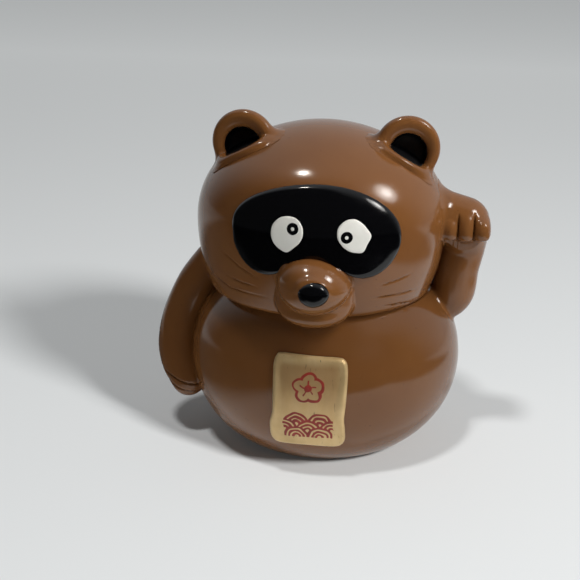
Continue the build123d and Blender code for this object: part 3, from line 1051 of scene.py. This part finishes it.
wave_end = 9


def brush_line(x, z):
    """Distance of a place on the plaque from the edge of the nearest brush line."""
    x += hand_wobble * noise.noise((x / 3, 0, z / 3))
    z += hand_wobble * noise.noise((x / 3, 9, z / 3))
    bx, bz = x - blossom_middle[0], z - blossom_middle[1]
    petals = [pi / 2 + 2 * pi * i / 5 for i in range(5)]
    rim = min(hypot(bx - petal_reach * cos(a), bz - petal_reach * sin(a)) for a in petals) - petal_radius
    near = min(abs(rim), abs(hypot(bx, bz) - heart_radius))
    for a in petals:
        thread = [(reach * cos(a), reach * sin(a)) for reach in (thread_from, thread_to)]
        near = min(near, nearest(bx, bz, thread)[0] + thread_thinning)
    if z < 0 and abs(x) < wave_end:
        for row, centres in wave_rows:
            away = min(hypot(x - c, z - row) for c in centres)
            if away < wave_radius or z < row:
                if z >= row - 0.4:
                    near = min(near, *[abs(away - wave_radius * share) for share in wave_rings])
                break
            near = min(near, away - wave_radius)
    return near - line_width / 2 * (1 + 0.45 * noise.noise((x / 4, 5, z / 4)))


def plaque_surface(x, z, depth):
    """The plaque's front: a rounded edge, a raised border and the relief of the brush lines."""
    edge = max(plaque_round - depth, 0)
    lift = plaque_thickness - plaque_round + sqrt(plaque_round**2 - edge**2)
    lift -= border_rise * soft_step(border_width * 0.4, border_width * 1.7, depth)
    lift += line_rise * soft_step(0.15, -0.15, brush_line(x, z))
    return on_chest(plaque_middle[0] + x, plaque_middle[1] + z, lift)


plaque_bm = patch(loop(plaque_edge, 22), (0, 0.1, 0.25, 0.45, 0.75, 1.1, 1.5), 44, plaque_surface, 2.0)
line_layer = plaque_bm.verts.layers.float.new("brush_line")
field_shade_layer = plaque_bm.verts.layers.float.new("painted_field_shade")
for vert in plaque_bm.verts:
    x, z = vert.co.x - plaque_middle[0], vert.co.z - plaque_middle[1]
    vert[line_layer] = brush_line(x, z)
    # painted shade: grows towards the top of the field, and is kept off the border at the sides and top
    vert[field_shade_layer] = 0.6 * soft_step(12.5, 8.5, abs(x)) * soft_step(-17, 15, z) * soft_step(16.5, 13, z)
finish_piece(plaque_bm, "belly_plaque", "gold_lustre", gold)

# Tail
tail_centre = Vector((0, torso.reach_at(tail_height) + tail_stand_off, tail_height))
tail_bm = ball(tail_centre, tail_size, 6, tail_lift)
flare(tail_bm, torso, lambda point: tail_fillet)
finish_piece(tail_bm, "tail", "brown_glaze", brown)

# Floor: a plain pale sheet that glows, seen and mirrored, more the further behind it lies: painted light. The
# glaze mirrors it as dark in zones in front and beside, a painted dark reflection: each sets in from near to
# far on one axis, and from back to front
dark_zones = (
    ("Y", -0.125, -0.17, 6.0, 5.0),
    ("X", -0.04, -0.105, 0.26, 0.12),
    ("X", 0.16, 0.21, 0.15, 0.08),
)
dark = 0.1
floor_material, floor_tree, floor_shader, spot = new_material("matt_paper_floor")
rays = add_node(floor_tree, "ShaderNodeLightPath").outputs
seen = add_node(
    floor_tree, "ShaderNodeMath", {0: rays["Is Camera Ray"], 1: rays["Is Glossy Ray"]}, operation="MAXIMUM"
).outputs["Value"]
place = add_node(floor_tree, "ShaderNodeSeparateXYZ", {"Vector": spot}).outputs
# painted light: a glow for seen and mirrored rays that grows towards the back
far_glow = add_node(
    floor_tree,
    "ShaderNodeMapRange",
    {"Value": place["Y"], "From Min": -0.15, "From Max": 1.0, "To Max": 0.32},
).outputs["Result"]
lift = add_node(floor_tree, "ShaderNodeMath", {0: seen, 1: far_glow}, operation="MULTIPLY").outputs["Value"]
for side, near, far, back, front in dark_zones:
    zone = [
        add_node(
            floor_tree,
            "ShaderNodeMapRange",
            {"Value": place[along], "From Min": start, "From Max": end},
            interpolation_type="SMOOTHSTEP",
        ).outputs["Result"]
        for along, start, end in ((side, near, far), ("Y", back, front))
    ]
    both = add_node(floor_tree, "ShaderNodeMath", {0: zone[0], 1: zone[1]}, operation="MULTIPLY")
    dark = add_node(
        floor_tree, "ShaderNodeMath", {0: both.outputs["Value"], 1: dark}, operation="MAXIMUM"
    ).outputs["Value"]
mirrored = add_node(
    floor_tree, "ShaderNodeMath", {0: dark, 1: rays["Is Glossy Ray"]}, operation="MULTIPLY"
).outputs["Value"]
paper = add_node(
    floor_tree, "ShaderNodeMix", {0: mirrored, 6: paint("#d8dada"), 7: paint("#141414")}, data_type="RGBA"
).outputs[2]
feed(floor_tree, floor_shader, {"Base Color": paper, "Roughness": 0.8, "Specular IOR Level": 0.0})
# painted light: the floor glows by that far glow, though it is no lamp
feed(floor_tree, floor_shader, {"Emission Color": paint("#f2f5f5"), "Emission Strength": lift})
floor_bm = bmesh.new()
bmesh.ops.create_grid(floor_bm, x_segments=1, y_segments=1, size=6)
floor_mesh = bpy.data.meshes.new("floor")
floor_bm.to_mesh(floor_mesh)
floor_bm.free()
floor_mesh.materials.append(floor_material)
floor = bpy.data.objects.new("floor", floor_mesh)
scene.collection.objects.link(floor)

# Light: a window at the figure's left, a small lamp overhead, and a room that is dim in front and pale behind
aim = Vector((0, 0, 0.07))


def area_light(name, direction, distance, width, height, energy, colour="#ffffff"):
    """A soft oval lamp that points at the figure."""
    lamp = bpy.data.lights.new(name, "AREA")
    lamp.shape = "ELLIPSE"
    lamp.size = width
    lamp.size_y = height
    lamp.energy = energy
    lamp.color = paint(colour)[:3]
    rig = bpy.data.objects.new(name, lamp)
    direction = Vector(direction).normalized()
    rig.location = aim + direction * distance
    rig.rotation_euler = direction.to_track_quat("Z", "Y").to_euler()
    scene.collection.objects.link(rig)
    return rig


def reaches(rigs, name, pieces, state):
    """Let lamps reach those pieces alone, or all but those pieces."""
    group = bpy.data.collections.new(name)
    for piece in pieces:
        group.objects.link(piece)
    for entry in group.collection_objects:
        entry.light_linking.link_state = state
    for rig in rigs:
        rig.light_linking.receiver_collection = group


# the window, which isn't mirrored in the belly
window_side = (0.715, -0.15, 0.682)
windows = [
    area_light("window", window_side, 0.40, 0.105, 0.155, 0.28, "#fffcf8"),
    area_light("window_pane", window_side, 0.39, 0.05, 0.07, 0.12, "#fffcf8"),
]
reaches(windows, "away_from_window", [torso_piece, floor], "EXCLUDE")
# a small lamp, and the soft light of the whole room, which shows no shape of its own in the glaze
lamp = area_light("lamp", (-0.198, -0.005, 0.98), 1.1, 0.10, 0.10, 2.0, "#fff8ee")
soft_lights = [
    area_light("window_glow", (0.60, -0.24, 0.76), 1.2, 0.6, 0.6, 7.2),
    area_light("front_fill", (0.66, -0.60, 0.46), 1.2, 0.5, 0.5, 1.8),
]
for rig in soft_lights:
    rig.visible_glossy = False
reaches([lamp, *soft_lights], "off_the_floor", [floor], "EXCLUDE")
# the two soft shadows on the floor
floor_lights = [
    area_light("floor_side", (0.593, -0.593, 0.545), 1.2, 0.22, 0.22, 14.5),
    area_light("floor_above", (-0.157, -0.351, 0.923), 1.2, 0.15, 0.15, 5.8),
]
reaches(floor_lights, "ground", [floor], "INCLUDE")

world = bpy.data.worlds.new("room")
scene.world = world
world.use_nodes = True
sky = world.node_tree
background = sky.nodes["Background"]
direction = add_node(sky, "ShaderNodeTexCoord").outputs["Generated"]
toward = add_node(sky, "ShaderNodeVectorMath", {0: direction, 1: (0.12, 0.72, 0.45)}, operation="DOT_PRODUCT")
glow = add_node(
    sky,
    "ShaderNodeMapRange",
    {"Value": toward.outputs["Value"], "From Min": 0.08, "From Max": 0.55, "To Min": 0.04, "To Max": 0.54},
    interpolation_type="SMOOTHSTEP",
)
background.inputs["Color"].default_value = paint("#eef1f4")
# what the glaze mirrors is brighter than the light that the room gives
mirrored = add_node(sky, "ShaderNodeLightPath").outputs["Is Glossy Ray"]
share = add_node(sky, "ShaderNodeMapRange", {"Value": mirrored, "To Min": 0.4}).outputs["Result"]
strength = add_node(sky, "ShaderNodeMath", {0: glow.outputs["Result"], 1: share}, operation="MULTIPLY")
sky.links.new(strength.outputs["Value"], background.inputs["Strength"])

# Camera, as fitted to the photograph: a square frame of 580 pixels
frame_pixels = 580
focal_pixels = 1258
target_pixel = (327, 281)
view_distance = 0.480
view_elevation = radians(18)
view_turn = radians(4.2)
view_roll = radians(1.5)
target = Vector((0, 0, 0.060))
lens = bpy.data.cameras.new("camera")
lens.sensor_width = 36
lens.lens = lens.sensor_width * focal_pixels / frame_pixels
lens.shift_x = (frame_pixels / 2 - target_pixel[0]) / frame_pixels
lens.shift_y = (target_pixel[1] - frame_pixels / 2) / frame_pixels
camera = bpy.data.objects.new("camera", lens)
level = cos(view_elevation)
from_target = Vector((sin(view_turn) * level, -cos(view_turn) * level, sin(view_elevation)))
looking = from_target.to_track_quat("Z", "Y").to_matrix().to_4x4()
camera.matrix_world = (
    Matrix.Translation(target + from_target * view_distance) @ looking @ Matrix.Rotation(view_roll, 4, "Z")
)
scene.collection.objects.link(camera)
scene.camera = camera
scene.view_settings.view_transform = "Standard"
